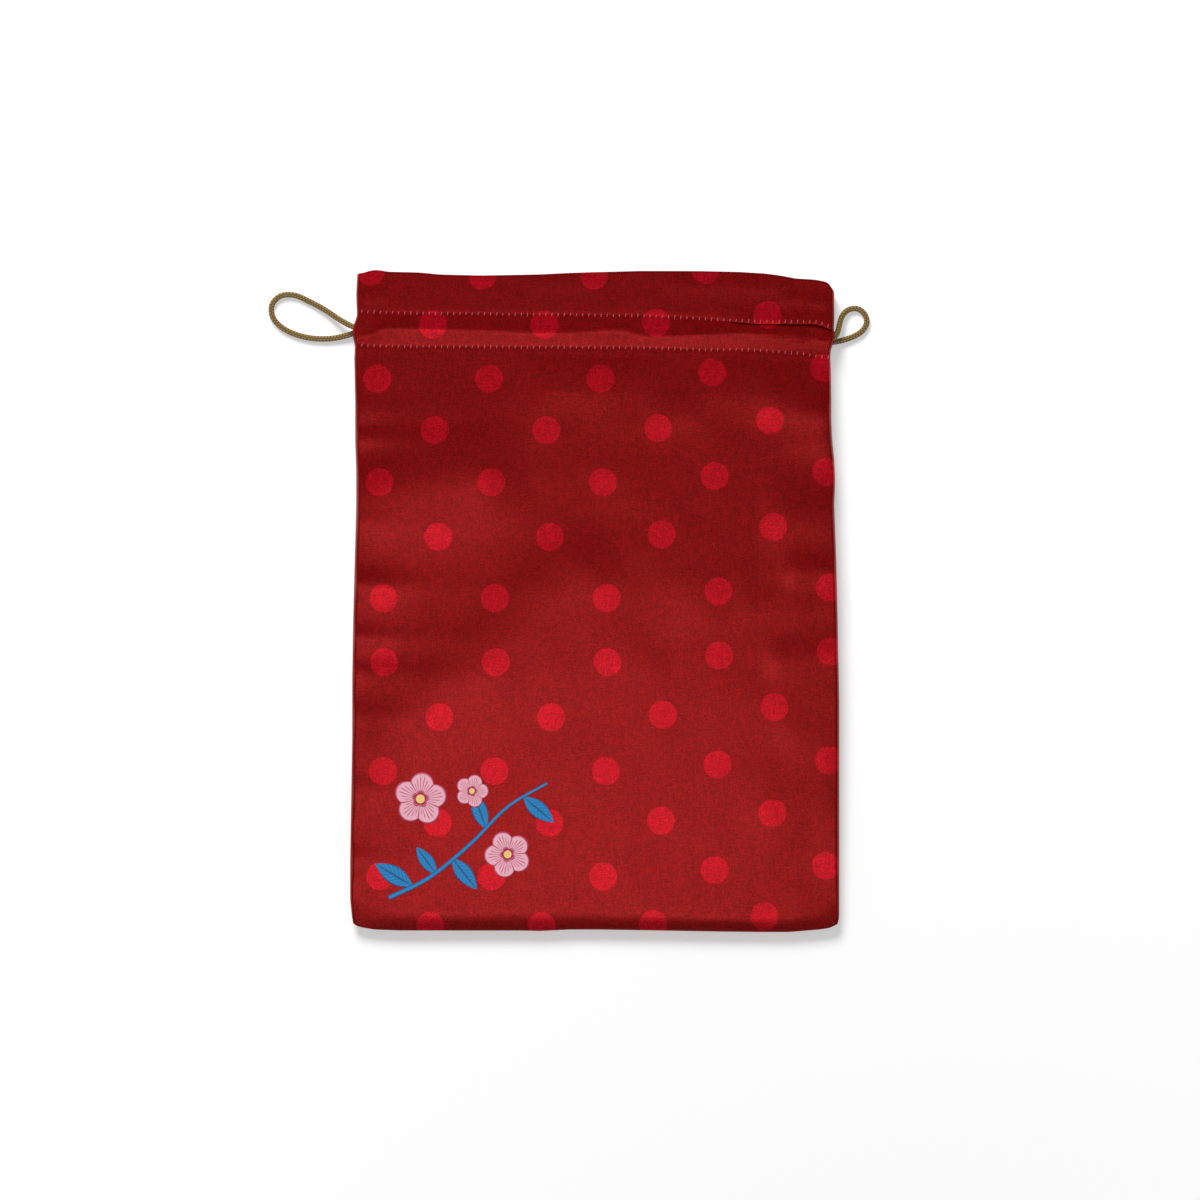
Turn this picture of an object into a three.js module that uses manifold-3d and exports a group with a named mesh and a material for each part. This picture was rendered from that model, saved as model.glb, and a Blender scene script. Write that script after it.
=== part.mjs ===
// A kinchaku, a drawstring pouch of polka-dot satin. It lies flat and a little puffed, its mouth towards +Y.
// Two panels of cloth are sewn together along the sides and the base. The top of each is folded in and sewn
// with two lines of stitches, which leave a header above a casing. One endless cord runs through both
// casings and shows as a loop at each side, where the side seams are left open.
// Millimetres, +Z up. The origin is the middle of the cloth's footprint, on the surface that it lies on.
import * as THREE from "three";
import { mergeVertices } from "three/addons/utils/BufferGeometryUtils.js";
import Module from "manifold-3d";

// Outline of the sewn pouch
const POUCH_LENGTH = 330; // base seam to top fold
const BASE_WIDTH = 245.5;
const MOUTH_WIDTH = 239.5;
const HEADER = 20; // top fold to upper stitches
const CASING = 16.5; // upper to lower stitches
const HEM = 7; // cloth turned in below the lower stitches
const SEAM_ALLOWANCE = 8;
const CORNER_RADIUS = 2.5;
const MOUTH_CORNER_RADIUS = 4;

// Heights
const CLOTH = 0.5;
const PUFF = 12; // top of the filled body above the surface
const MOUTH_GAP = 4.6; // free height between the two casings
const SEAM_HEIGHT = 5.1; // side and base seams above the surface
const STITCH_VALLEY = 1.25; // how far the stitches pull the back cloth up from the surface
const VALLEY_WIDTH = 5; // to each side of a stitch line
const BODY_ROLL = 22; // width over which the front rounds down to a side seam
const HEADER_ROLL = 18;
const BASE_ROLL = 18;
const BACK_ROLL = 12; // width over which the back rounds up to a seam
const ROLL_POWER = 2.2;

// Cord, thread and print
const CORD_DIAMETER = 2.8;
const CORD_CLEARANCE = 0.5;
const CORD_SIDES = 8;
const CORD_STEPS = 80;
const THREAD = 0.5;
const THREAD_SIDES = 3;
const THREAD_INSET = 4; // seam thread from the pouch's edge
const STITCH_PITCH = 3.05;
const STITCH_HEIGHT = 1.6; // across the line
const LAY_GAP = 0.3; // between two pieces that touch
const DOT_DIAMETER = 13.6;
const DOT_PITCH = 56.2; // between the dots of one row
const DOT_RELIEF = 0.2;
const DOT_SIDES = 12;
const PRINT_THICKNESS = 0.2;
const WELD = 0.1; // how deep two layers of one solid run into each other
const FINEST_DETAIL = 0.005; // shorter edges are merged

// Waves of the four edges and the two stitch lines: [share of the edge, offset], outwards or towards the mouth.
const LEFT_WAVE = [[0, 0.1], [0.14, 0.5], [0.32, 0.1], [0.41, 0.4], [0.65, -0.8], [0.86, 0.8], [1, -0.2]];
const RIGHT_WAVE = [[0, 0.1], [0.28, 0.5], [0.5, 0.2], [0.68, -0.3], [0.87, -2.1], [0.9, -1.6], [1, 0.1]];
const TOP_WAVE = [[0, 0.3], [0.04, 1.5], [0.1, 0.5], [0.22, -1.5], [0.5, 0.4], [0.7, 1], [0.87, -0.5], [1, -4]];
const BASE_WAVE = [[0, -2], [0.07, 0], [0.4, 0.5], [0.55, -0.5], [0.85, 1], [1, -1.5]];
const UPPER_STITCH_WAVE = [[0, 0.8], [0.5, -1.7], [0.85, -4.2], [1, -7]];
const LOWER_STITCH_WAVE = [[0, 0.7], [0.5, -0.8], [0.85, -3.4], [1, -4.9]];
const CASING_FLARE = [1.8, 2]; // how far the open casing ends stand out, left and right

// Rows of dots: height above the base seam, X of the first dot, number of dots
const DOT_ROWS = [
  [2, -83.2, 4], [27, -109.4, 5], [53.5, -79.7, 4], [79.5, -106.8, 5], [107, -78.6, 4], [135, -106.3, 5],
  [167.5, -106.8, 5], [198.5, -79.7, 4], [225.5, -109.9, 5], [251.5, -82.1, 4], [277.5, -110.4, 5],
  [304.5, -83.2, 4], [329, -112.9, 5],
];
const DOT_TILT = 0.05; // slope of the rows in the right half

// Colours
const SATIN_RED = 0x8c1518;
const DOT_RED = 0xc4122a;
const CORD_GOLD = 0x86692f;
const THREAD_ROSE = 0xb0505c;
const PRINT_BLUE = 0x1a7fb8;
const PRINT_PINK = 0xd9a2b4;
const PRINT_WINE = 0xa03058;

const wasm = await Module();
wasm.setup();

// Values that follow from the ones above
const TUNNEL = CORD_DIAMETER + 2 * CORD_CLEARANCE;
const SEAM_TOP = SEAM_HEIGHT + LAY_GAP / 2; // underside of the front cloth at a seam
const SEAM_BOTTOM = SEAM_HEIGHT - LAY_GAP / 2; // upper side of the back cloth at a seam
const BACK_CASING_TOP = 2 * CLOTH + TUNNEL;
const MOUTH_LEVEL = BACK_CASING_TOP + MOUTH_GAP; // underside of the front casing
const highest = (wave) => Math.max(...wave.map(([, offset]) => offset));
const SHIFT_Y = (highest(BASE_WAVE) - highest(TOP_WAVE)) / 2; // puts the origin in the footprint's middle
const SHIFT_X = (highest(LEFT_WAVE) - highest(RIGHT_WAVE)) / 2;

const lerp = THREE.MathUtils.lerp;
const clamp = THREE.MathUtils.clamp;

// A smooth curve through [share, value] pairs.
function along(wave, share) {
  const last = wave.length - 1;
  const next = wave.findIndex(([at]) => at >= share);
  const i = clamp(next < 0 ? last : next, 1, last);
  const [from, low] = wave[i - 1];
  const [to, high] = wave[i];
  return lerp(low, high, THREE.MathUtils.smoothstep(share, from, to));
}

// The rounding of a corner: how far the side lies inwards at a distance from the corner's end.
const cornerInset = (radius, distance) => {
  const rest = clamp(radius - distance, 0, radius);
  return radius - Math.sqrt(radius ** 2 - rest ** 2);
};

// 1 in the middle of the casing, 0 on its two stitch lines. Lines 2 and 3 of a panel are the stitch lines.
const casingRise = (line) => Math.sin(Math.PI * clamp(line - 2, 0, 1)) ** 0.7;

// The five lines across a panel, as heights in Y: base seam, hem's edge, lower stitches, upper stitches, top fold.
function lineY(number, share) {
  const base = SHIFT_Y - POUCH_LENGTH / 2;
  const fold = base + POUCH_LENGTH;
  const lower = fold - HEADER - CASING + along(LOWER_STITCH_WAVE, share);
  return [
    base - along(BASE_WAVE, share),
    lower - HEM,
    lower,
    fold - HEADER + along(UPPER_STITCH_WAVE, share),
    fold + along(TOP_WAVE, share),
  ][number];
}

// A place on a panel: share runs from the left edge to the right one, line from 0 at the base to 4 at the fold.
function placeOn(share, line) {
  const below = Math.min(Math.floor(line), 3);
  const y = lerp(lineY(below, share), lineY(below + 1, share), line - below);
  const toBase = y - lineY(0, share);
  const toFold = lineY(4, share) - y;
  const up = clamp(toBase / (toBase + toFold), 0, 1);
  const half = lerp(BASE_WIDTH, MOUTH_WIDTH, up) / 2;
  const corner = cornerInset(CORNER_RADIUS, toBase);
  const rise = casingRise(line);
  const left = SHIFT_X - half - along(LEFT_WAVE, up) - CASING_FLARE[0] * rise + corner
    + cornerInset(CORNER_RADIUS / 2, toFold);
  const right = SHIFT_X + half + along(RIGHT_WAVE, up) + CASING_FLARE[1] * rise - corner
    - cornerInset(MOUTH_CORNER_RADIUS, toFold);
  return { x: lerp(left, right, share), y, left, right, toBase, toSide: Math.min(share, 1 - share) * (right - left) };
}

// The rounding towards a seam: 0 on the seam, 1 beyond the given width.
const roll = (distance, width) => 1 - (1 - clamp(distance / width, 0, 1)) ** ROLL_POWER;

// Underside of the front cloth, facing included.
function frontUnder(share, line) {
  const { toSide, toBase } = placeOn(share, line);
  const width = along([[0, BODY_ROLL], [1, BODY_ROLL], [3, HEADER_ROLL]], line);
  const crown = along([[0, PUFF - CLOTH], [0.8, PUFF - CLOTH], [2, MOUTH_LEVEL], [4, MOUTH_LEVEL]], line);
  return lerp(SEAM_TOP, crown, roll(toSide, width) * roll(toBase, BASE_ROLL));
}

// Outer side of the back cloth. Its side edges stay down where the casing is open.
function backOuter(share, line) {
  const { y, toSide, toBase } = placeOn(share, line);
  const open = 0.15 * along([[0, 0], [1, 0], [2, 1], [3, 1], [4, 0]], line);
  const layers = CLOTH * (1 + THREE.MathUtils.smoothstep(line, 0.85, 1));
  const lift = (SEAM_BOTTOM - layers) * (1 - open) * (1 - casingRise(line));
  const toStitches = Math.min(Math.abs(y - lineY(2, share)), Math.abs(y - lineY(3, share)));
  const valley = STITCH_VALLEY * Math.max(0, 1 - toStitches / VALLEY_WIDTH);
  return Math.max(lift * (1 - roll(toSide, BACK_ROLL)), (SEAM_BOTTOM - CLOTH) * (1 - roll(toBase, BACK_ROLL)), valley);
}

// Thickness of a panel at a line: one layer, two where it is folded in, and the cord's tunnel in the casing.
const stack = (line) => CLOTH + (line >= 1 ? CLOTH : 0) + TUNNEL * casingRise(line);
const frontOuter = (share, line) => frontUnder(share, line) + stack(line);

// Shares and lines of the meshes
const spread = (from, to, steps) => Array.from({ length: steps + 1 }, (_, i) => lerp(from, to, i / steps));
const SIDE_STEPS = [0, 0.012, 0.03, 0.05, 0.08, 0.12];
const SHARES = [...SIDE_STEPS, ...spread(0.2, 0.8, 7), ...SIDE_STEPS.map((s) => 1 - s).reverse()];
const BASE_STEPS = [0, 0.008, 0.02, 0.038, 0.06];
const HEM_LINES = [...spread(1, 2, 2), ...spread(2, 3, 8).slice(1), ...spread(3, 4, 3).slice(1)];
const LINES = [...BASE_STEPS, ...spread(0.12, 0.995, 9), ...HEM_LINES];

// The closed solid between two heights over a patch. place(share, line) gives x and y there.
function slab(shares, lines, bottom, top, place = placeOn) {
  const position = [];
  for (const height of [bottom, top]) {
    for (const line of lines) {
      for (const share of shares) {
        const { x, y } = place(share, line);
        position.push(x, y, height(share, line));
      }
    }
  }
  const across = shares.length;
  const layer = across * lines.length;
  const index = [];
  const quad = (a, b, c, d) => index.push(a, b, c, a, c, d);
  for (let j = 0; j < lines.length - 1; j++) {
    for (let i = 0; i < across - 1; i++) {
      const at = j * across + i;
      quad(at, at + across, at + across + 1, at + 1);
      quad(layer + at, layer + at + 1, layer + at + across + 1, layer + at + across);
    }
  }
  const rim = [
    ...shares.keys(),
    ...lines.map((_, j) => j * across + across - 1).slice(1),
    ...[...shares.keys()].reverse().slice(1).map((i) => layer - across + i),
    ...lines.map((_, j) => j * across).reverse().slice(1, -1),
  ];
  rim.forEach((at, k) => {
    const next = rim[(k + 1) % rim.length];
    quad(at, next, layer + next, layer + at);
  });
  const geometry = new THREE.BufferGeometry();
  geometry.setAttribute("position", new THREE.Float32BufferAttribute(position, 3));
  geometry.setIndex(index);
  return solidOf(geometry);
}

// Between three.js geometries and solids that can be joined and cut
function solidOf(geometry) {
  const bare = geometry.clone();
  bare.deleteAttribute("normal");
  bare.deleteAttribute("uv");
  const merged = mergeVertices(bare, 1e-4);
  return new wasm.Manifold(new wasm.Mesh({
    numProp: 3,
    vertProperties: merged.attributes.position.array,
    triVerts: new Uint32Array(merged.index.array),
  }));
}

// The faces that came from the marked solid get the second material.
function geometryOf(solid, marked = -1) {
  const mesh = solid.simplify(FINEST_DETAIL).getMesh();
  const geometry = new THREE.BufferGeometry();
  geometry.setAttribute("position", new THREE.BufferAttribute(mesh.vertProperties, 3));
  geometry.setIndex(new THREE.BufferAttribute(mesh.triVerts, 1));
  mesh.runOriginalID.forEach((id, run) => {
    const start = mesh.runIndex[run];
    geometry.addGroup(start, mesh.runIndex[run + 1] - start, id === marked ? 1 : 0);
  });
  const flat = geometry.toNonIndexed();
  flat.computeVertexNormals();
  return flat;
}

const joined = (solids) => solids.reduce((whole, next) => whole.add(next));

// Seam allowances: strips of cloth turned in along the sides and the base, between the two panels.
function allowances(bottom) {
  const flat = () => bottom;
  const raised = () => bottom + CLOTH;
  const strip = spread(0.04, 1, 2);
  const bySide = (side) => (share, line) => {
    const { left, right, y } = placeOn(side, line);
    return { x: lerp(side ? right : left, side ? right - SEAM_ALLOWANCE : left + SEAM_ALLOWANCE, share), y };
  };
  const shares = (side) => (side ? strip.map((s) => 1 - s) : strip);
  const bodyLines = [0.002, ...LINES.filter((line) => line > 0 && line < 0.8)];
  const baseStrip = slab(SHARES, strip, flat, raised, (share, inward) => {
    const { x, y } = placeOn(lerp(0.002, 0.998, share), 0);
    return { x, y: y + inward * SEAM_ALLOWANCE };
  });
  return [baseStrip, ...[0, 1].map((side) => slab(shares(side), bodyLines, flat, raised, bySide(side)))];
}

// Dots of the print, as prisms that stand through the cloth
function dotPrisms() {
  const radius = DOT_DIAMETER / 2;
  const tall = 4 * PUFF;
  const base = SHIFT_Y - POUCH_LENGTH / 2;
  return DOT_ROWS.flatMap(([height, first, count]) => [...Array(count).keys()].map((i) => {
    const x = first + DOT_PITCH * i;
    const prism = new THREE.CylinderGeometry(radius, radius, tall, DOT_SIDES);
    prism.rotateX(Math.PI / 2);
    prism.translate(x, base + height + DOT_TILT * Math.max(0, x), 0);
    return solidOf(prism);
  }));
}

// A layer that follows the front cloth's outer side, from one height above it to another
const frontSkin = (from, to) => slab(SHARES, LINES,
  (share, line) => frontOuter(share, line) + from, (share, line) => frontOuter(share, line) + to);

function frontPanel() {
  const outer = slab(SHARES, LINES, (share, line) => frontOuter(share, line) - CLOTH, frontOuter);
  const facing = slab(SHARES, HEM_LINES, frontUnder, (share, line) => frontUnder(share, line) + CLOTH + WELD);
  const dots = joined(dotPrisms()).intersect(frontSkin(-CLOTH / 2, DOT_RELIEF)).asOriginal();
  return geometryOf(joined([outer, facing, ...allowances(SEAM_TOP + WELD), dots]), dots.originalID());
}

function backPanel() {
  const outer = slab(SHARES, LINES, backOuter, (share, line) => backOuter(share, line) + CLOTH);
  const facing = slab(SHARES, HEM_LINES,
    (share, line) => backOuter(share, line) + stack(line) - CLOTH - WELD,
    (share, line) => backOuter(share, line) + stack(line));
  return geometryOf(joined([outer, facing, ...allowances(SEAM_BOTTOM - CLOTH - WELD)]));
}

// Cord's centre line: a loop at the left, the front casing, a loop at the right, the back casing
const CORD_POINTS = [
  [-101, 136.2, 2.4], [-119, 136, 2.3], [-125, 134.2, 2.1], [-131, 132.8, 1.6], [-138, 132.3, 1.5],
  [-146, 133.1, 1.5], [-153.5, 135.4, 1.5], [-159.8, 139.2, 1.5], [-163.4, 144.4, 1.5], [-163.3, 149.8, 1.5],
  [-159.2, 154, 1.5], [-152.4, 154.5, 1.5], [-144, 151, 1.6], [-136, 146.6, 2.5], [-129.5, 142.2, 4.4],
  [-122, 138.1, 7.7], [-119, 137.6, 9.05], [-115, 137.4, 10.4], [-108, 137.3, 11.5], [-98, 137, 11.85],
  [0, 135.8, 11.85], [60, 133.9, 11.85], [102, 131.4, 11.8], [113, 130.7, 10.45], [117, 131, 9.2],
  [120.3, 132.3, 7.8], [122.5, 135.5, 6.2], [123.6, 139.8, 4.4], [125.1, 144, 2.7], [128.3, 147.1, 1.6],
  [132.7, 147.6, 1.5], [136.3, 145, 1.5], [137.5, 140.8, 1.5], [135.5, 136.7, 1.5], [131.3, 133.8, 1.5],
  [126, 131.8, 1.8], [120, 130.6, 2.3], [110, 130.6, 2.4], [0, 135.8, 2.4], [-100.6, 136.2, 2.4],
];

// A round piece of the given diameter along a curve
function roundAlong(points, diameter, sides, steps) {
  const section = new THREE.Shape();
  for (const i of Array(sides).keys()) {
    const angle = 2 * Math.PI * (i + 0.5) / sides;
    const at = [Math.cos(angle) * diameter / 2, Math.sin(angle) * diameter / 2];
    if (i) section.lineTo(...at);
    else section.moveTo(...at);
  }
  const extrudePath = new THREE.CatmullRomCurve3(points.map((p) => new THREE.Vector3(...p)));
  return new THREE.ExtrudeGeometry(section, { steps, extrudePath });
}

// A row of stitches on a panel's outer side: one thread that goes up and down across stitch line 2 or 3
function stitchRow(line, outer, away) {
  const below = line === 2 ? HEM : CASING;
  const above = line === 2 ? CASING : HEADER;
  const { left, right } = placeOn(0.5, line);
  const steps = 2 * Math.round((right - left) / STITCH_PITCH);
  const points = spread(0.008, 0.992, steps).map((share, i) => {
    const at = line + (i % 2 ? 1 / above : -1 / below) * STITCH_HEIGHT / 2;
    const { x, y } = placeOn(share, at);
    return [x, y, outer(share, at) + away * (LAY_GAP + THREAD / 2)];
  });
  return roundAlong(points, THREAD, THREAD_SIDES, steps);
}

// The thread of the side and base seams, inside the pouch on the front's seam allowance
function seamThread() {
  const z = SEAM_TOP + WELD + CLOTH + LAY_GAP + THREAD / 2;
  const side = (share, inward) => spread(0.8, 0.04, 8).map((line) => {
    const { x, y } = placeOn(share, line);
    return [x + inward * THREAD_INSET, y, z];
  });
  const base = spread(0.05, 0.95, 8).map((share) => {
    const { x, y } = placeOn(share, 0);
    return [x, y + THREAD_INSET, z];
  });
  return roundAlong([...side(0, 1), ...base, ...side(1, -1).reverse()], THREAD, THREAD_SIDES, 60);
}

// Motif in the pouch's lower left: three plum blossoms on a leafy twig
const BLOSSOMS = [[-88, -100, 13.5, 0.2], [-44, -128, 12, 0.7], [-62, -96, 8.5, 0]]; // x, y, radius, turn
const TWIG = [[-104, -150], [-84, -140], [-62, -122], [-44, -104], [-24, -92]];
const TWIG_WIDTH = 2.4;
const LEAVES = [[-92, -144, 22, 2.6], [-72, -130, 20, -0.9], [-55, -115, 19, 1.9], [-36, -99, 20, -0.7],
  [-80, -138, 17, 2.2]]; // x, y, length, direction
const LEAF_WIDTH = 0.42; // as a share of its length

const prismOf = (shape) => {
  const geometry = new THREE.ExtrudeGeometry(shape, { depth: 4 * PUFF, bevelEnabled: false, curveSegments: 5 });
  geometry.translate(0, 0, -PUFF);
  return solidOf(geometry);
};

function disc(x, y, radius) {
  const shape = new THREE.Shape();
  shape.absarc(x, y, radius, 0, 2 * Math.PI);
  return prismOf(shape);
}

function blossom([x, y, radius, turn], grow) {
  const petals = [...Array(5).keys()].map((i) => {
    const angle = turn + 2 * Math.PI * i / 5;
    const out = radius * 0.56;
    return disc(x + out * Math.cos(angle), y + out * Math.sin(angle), radius * 0.44 + grow);
  });
  return joined([disc(x, y, radius * 0.4 + grow), ...petals]);
}

function leaf([x, y, length, direction]) {
  const shape = new THREE.Shape();
  const wide = length * LEAF_WIDTH;
  const at = (u, v) => [x + u * Math.cos(direction) - v * Math.sin(direction),
    y + u * Math.sin(direction) + v * Math.cos(direction)];
  shape.moveTo(...at(0, 0));
  shape.quadraticCurveTo(...at(length * 0.45, wide), ...at(length, 0));
  shape.quadraticCurveTo(...at(length * 0.45, -wide), ...at(0, 0));
  return prismOf(shape);
}

function twig() {
  const curve = new THREE.SplineCurve(TWIG.map((p) => new THREE.Vector2(...p)));
  const spine = curve.getPoints(12);
  const edge = (side) => spine.map((p, i) => {
    const tangent = curve.getTangent(i / (spine.length - 1));
    const half = side * TWIG_WIDTH / 2;
    return new THREE.Vector2(p.x - tangent.y * half, p.y + tangent.x * half);
  });
  return prismOf(new THREE.Shape([...edge(-1), ...edge(1).reverse()]));
}

const printSkin = frontSkin(DOT_RELIEF + LAY_GAP, DOT_RELIEF + LAY_GAP + PRINT_THICKNESS);
const printed = (prism) => geometryOf(prism.intersect(printSkin));

const pouch = new THREE.Group();
pouch.name = "kinchaku_pouch";

function add(name, geometry, ...colors) {
  const finishes = colors.map((color) => new THREE.MeshStandardMaterial({ color, roughness: 0.5 }));
  const mesh = new THREE.Mesh(geometry, finishes.length > 1 ? finishes : finishes[0]);
  mesh.name = name;
  pouch.add(mesh);
}

add("front_panel", frontPanel(), SATIN_RED, DOT_RED);
add("back_panel", backPanel(), SATIN_RED);
add("drawstring", roundAlong(CORD_POINTS, CORD_DIAMETER, CORD_SIDES, CORD_STEPS), CORD_GOLD);
add("front_upper_stitches", stitchRow(3, frontOuter, 1), THREAD_ROSE);
add("front_lower_stitches", stitchRow(2, frontOuter, 1), THREAD_ROSE);
add("back_upper_stitches", stitchRow(3, backOuter, -1), THREAD_ROSE);
add("back_lower_stitches", stitchRow(2, backOuter, -1), THREAD_ROSE);
add("seam_thread", seamThread(), THREAD_ROSE);
BLOSSOMS.forEach((place, i) => {
  const [x, y, radius] = place;
  const heart = radius * 0.2;
  const petals = blossom(place, 0).subtract(disc(x, y, heart + LAY_GAP));
  add(`print_blossom_${i + 1}`, printed(petals), PRINT_PINK);
  add(`print_blossom_heart_${i + 1}`, printed(disc(x, y, heart)), PRINT_WINE);
});
const foliage = joined([twig(), ...LEAVES.map(leaf)]);
const cleared = joined(BLOSSOMS.map((place) => blossom(place, LAY_GAP)));
add("print_twig", printed(foliage.subtract(cleared)), PRINT_BLUE);

export default pouch;
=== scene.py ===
"""A satin drawstring pouch (kinchaku) that lies flat, seen from straight above."""
import math

import bpy
import numpy as np
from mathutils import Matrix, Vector
from mathutils.bvhtree import BVHTree


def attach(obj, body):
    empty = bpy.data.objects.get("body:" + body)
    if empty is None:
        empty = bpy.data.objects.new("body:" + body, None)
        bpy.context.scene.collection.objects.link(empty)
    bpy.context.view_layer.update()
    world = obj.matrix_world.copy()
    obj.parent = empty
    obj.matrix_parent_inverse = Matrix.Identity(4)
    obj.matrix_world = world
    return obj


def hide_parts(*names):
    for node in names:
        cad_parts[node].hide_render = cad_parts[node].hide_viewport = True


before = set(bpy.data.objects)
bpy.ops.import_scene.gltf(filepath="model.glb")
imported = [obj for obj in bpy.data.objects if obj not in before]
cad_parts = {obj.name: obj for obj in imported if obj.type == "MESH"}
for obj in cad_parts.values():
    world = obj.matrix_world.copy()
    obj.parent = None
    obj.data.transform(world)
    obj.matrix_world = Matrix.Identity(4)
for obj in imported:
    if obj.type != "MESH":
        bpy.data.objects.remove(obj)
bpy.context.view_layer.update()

MM = 0.001
PIXEL = 0.504  # millimetres in one pixel of the 1200 pixel frame
CENTRE = (595.0, 600.5)  # the frame's pixel that is the part's origin


def from_pixels(points):
    """Pixels of the frame as millimetres in the part's frame."""
    px, py = np.array(points, float).T
    return np.stack([(px - CENTRE[0]) * PIXEL, (CENTRE[1] - py) * PIXEL], axis=1)


def columns_at(columns):
    """X in millimetres of pixel columns of the frame."""
    return from_pixels([(column, 0) for column in columns])[:, 0]


# Camera
FRAME_WIDTH = 1200  # pixels
CAMERA_HEIGHT = 2.4
PICTURED_LEVEL = 0.01  # height at which a pixel is PIXEL wide
SENSOR_WIDTH = 36

camera = bpy.data.objects.new("camera", bpy.data.cameras.new("camera"))
bpy.context.collection.objects.link(camera)
middle = FRAME_WIDTH / 2
camera.location = ((middle - CENTRE[0]) * PIXEL * MM, (CENTRE[1] - middle) * PIXEL * MM, CAMERA_HEIGHT)
camera.data.sensor_width = SENSOR_WIDTH
camera.data.lens = SENSOR_WIDTH * (camera.location.z - PICTURED_LEVEL) / (FRAME_WIDTH * PIXEL * MM)
bpy.context.scene.camera = camera

# Cord's centre line: a loop at the left, the front casing, a loop at the right, the back casing
CORD_DIAMETER = 0.0028
CORD_RADIUS = 1000 * CORD_DIAMETER / 2  # in millimetres, as the cloth
CORD_POINTS = [
    (-0.101, 0.1362, 0.0024), (-0.119, 0.136, 0.0023), (-0.125, 0.1342, 0.0021),
    (-0.131, 0.1328, 0.0016), (-0.138, 0.1323, 0.0015), (-0.146, 0.1331, 0.0015),
    (-0.1535, 0.1354, 0.0015), (-0.1598, 0.1392, 0.0015), (-0.1634, 0.1444, 0.0015),
    (-0.1633, 0.1498, 0.0015), (-0.1592, 0.154, 0.0015), (-0.1524, 0.1545, 0.0015),
    (-0.144, 0.151, 0.0016), (-0.136, 0.1466, 0.0025), (-0.1295, 0.1422, 0.0044),
    (-0.122, 0.1381, 0.0077), (-0.119, 0.1376, 0.00905), (-0.115, 0.1374, 0.0104),
    (-0.108, 0.1373, 0.0115), (-0.098, 0.137, 0.01185), (0, 0.1358, 0.01185),
    (0.06, 0.1339, 0.01185), (0.102, 0.1314, 0.0118), (0.113, 0.1307, 0.01045),
    (0.117, 0.131, 0.0092), (0.1203, 0.1323, 0.0078), (0.1225, 0.1355, 0.0062),
    (0.1236, 0.1398, 0.0044), (0.1251, 0.144, 0.0027), (0.1283, 0.1471, 0.0016),
    (0.1327, 0.1476, 0.0015), (0.1363, 0.145, 0.0015), (0.1375, 0.1408, 0.0015),
    (0.1355, 0.1367, 0.0015), (0.1313, 0.1338, 0.0015), (0.126, 0.1318, 0.0018),
    (0.12, 0.1306, 0.0023), (0.11, 0.1306, 0.0024), (0, 0.1358, 0.0024), (-0.1006, 0.1362, 0.0024),
]

PATH_SAMPLES = 40  # between two points
PATH_SMOOTHING = 12  # passes


def smooth_path(points, step):
    """A centripetal Catmull-Rom curve through the points, at even steps."""
    p = np.array(points, float)
    p = np.vstack([2 * p[0] - p[1], p, 2 * p[-1] - p[-2]])
    dense = []
    for a, b, c, d in zip(p[:-3], p[1:-2], p[2:-1], p[3:]):
        knots = np.cumsum([0] + [np.linalg.norm(v) ** 0.5 for v in (b - a, c - b, d - c)])
        t = np.linspace(knots[1], knots[2], PATH_SAMPLES, endpoint=False)[:, None]
        k0, k1, k2, k3 = knots
        ab = (k1 - t) / (k1 - k0) * a + (t - k0) / (k1 - k0) * b
        bc = (k2 - t) / (k2 - k1) * b + (t - k1) / (k2 - k1) * c
        cd = (k3 - t) / (k3 - k2) * c + (t - k2) / (k3 - k2) * d
        abc = (k2 - t) / (k2 - k0) * ab + (t - k0) / (k2 - k0) * bc
        bcd = (k3 - t) / (k3 - k1) * bc + (t - k1) / (k3 - k1) * cd
        dense.append((k2 - t) / (k2 - k1) * abc + (t - k1) / (k2 - k1) * bcd)
    dense = np.vstack(dense + [p[-2:-1]])
    way = np.concatenate([[0], np.cumsum(np.linalg.norm(np.diff(dense, axis=0), axis=1))])
    even = np.linspace(0, way[-1], int(way[-1] / step) + 1)
    path = np.stack([np.interp(even, way, axis) for axis in dense.T], axis=1)
    for _ in range(PATH_SMOOTHING):
        path[1:-1] = (path[:-2] + 2 * path[1:-1] + path[2:]) / 4
    return path


def mesh_object(name, vertices, faces, material, uv=None, smooth=True):
    """A mesh object from vertices in metres. uv holds one pair for each face corner."""
    mesh = bpy.data.meshes.new(name)
    mesh.from_pydata(np.asarray(vertices).tolist(), [], faces)
    if uv is not None:
        layer = mesh.uv_layers.new(name="print")
        layer.data.foreach_set("uv", np.asarray(uv, np.float32).ravel())
    mesh.polygons.foreach_set("use_smooth", [smooth] * len(mesh.polygons))
    mesh.materials.append(material)
    mesh.update()
    made = bpy.data.objects.new(name, mesh)
    bpy.context.collection.objects.link(made)
    return made


def tube_rings(path, radius, sides):
    """Rings of points round a path, with the frame carried along so that it doesn't twist."""
    tangent = np.gradient(path, axis=0)
    tangent /= np.linalg.norm(tangent, axis=1)[:, None]
    side = np.cross(tangent[0], (0, 0, 1.0))
    rings = []
    angle = np.arange(sides) / sides * 2 * np.pi
    for i, (at, along_path) in enumerate(zip(path, tangent)):
        side = side - along_path * side.dot(along_path)
        side = side / np.linalg.norm(side)
        up = np.cross(along_path, side)
        r = radius[i][:, None]
        rings.append(at + r * (np.cos(angle)[:, None] * side + np.sin(angle)[:, None] * up))
    return np.array(rings)


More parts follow.
